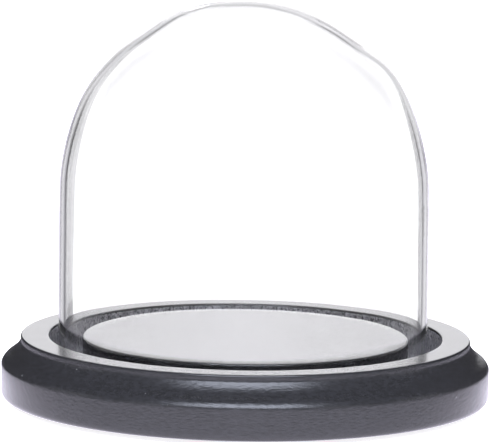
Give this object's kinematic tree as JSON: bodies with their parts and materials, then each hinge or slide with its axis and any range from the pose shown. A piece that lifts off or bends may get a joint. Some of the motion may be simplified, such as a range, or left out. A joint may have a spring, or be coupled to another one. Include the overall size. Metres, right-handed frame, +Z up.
{
  "type": "bell jar dome",
  "caption": "Small clear glass display dome standing in the ring groove of a round, moulded, satin black base; the dome lifts off.",
  "frame": {"origin": "centre of the felt's underside, on the surface that the base stands on", "axes": "+Z up along the axis of the dome and base; the object is round, so +X and +Y are free"},
  "size_m": [0.1016, 0.1016, 0.0835],
  "materials": {
    "clear_glass": "clear, polished, blown",
    "black_lacquer": "satin black lacquer, fine orange peel",
    "black_felt": "pressed wool felt"
  },
  "bodies": {
    "stand": {"base": "black_lacquer", "felt_pad": "black_felt"},
    "dome": {"glass_dome": "clear_glass"}
  },
  "joints": [
    {"name": "dome_lift", "type": "slide", "parent": "stand", "child": "dome", "axis": [0, 0, 1], "range_m": [0, 0.085]}
  ]
}
